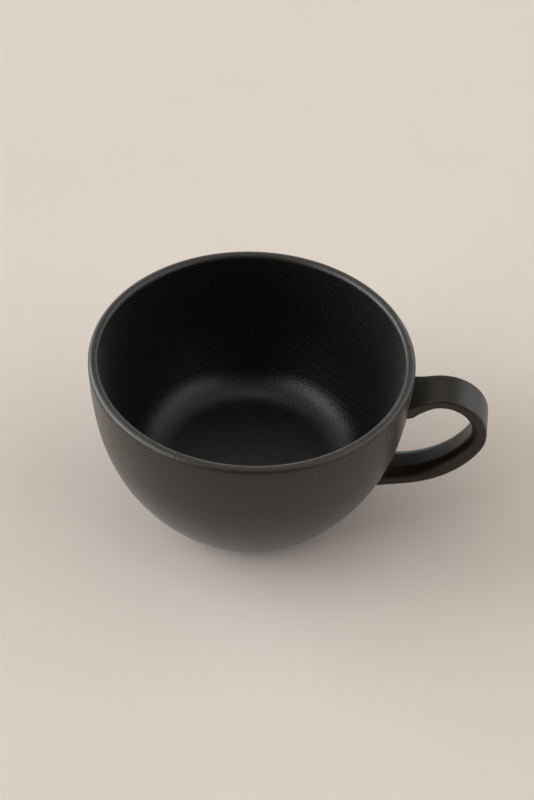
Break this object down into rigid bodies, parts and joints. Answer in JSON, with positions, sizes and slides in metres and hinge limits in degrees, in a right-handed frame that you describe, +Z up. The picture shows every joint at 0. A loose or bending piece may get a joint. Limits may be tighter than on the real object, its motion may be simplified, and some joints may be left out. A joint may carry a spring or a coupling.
{
  "type": "cappuccino cup",
  "caption": "Low round stoneware cup with a rounded rim, a looped strap handle, a bare foot ring and a dark satin glaze, for a hot drink.",
  "frame": {"origin": "the cup's axis on the table, in the middle of the foot ring's standing face", "axes": "+Z up along the cup's axis, +X towards the handle"},
  "size_m": [0.1365, 0.11, 0.066],
  "materials": {
    "clay": "matte",
    "glaze": "satin",
    "glazed_slip": "satin"
  },
  "bodies": {
    "root": {"bowl": "clay", "foot_ring": "clay", "base_glaze": "glaze", "liner_glaze": "glaze", "outer_glaze": "glaze", "handle": "clay", "upper_joint": "glazed_slip", "lower_joint": "glazed_slip", "handle_glaze": "glaze"}
  },
  "joints": []
}
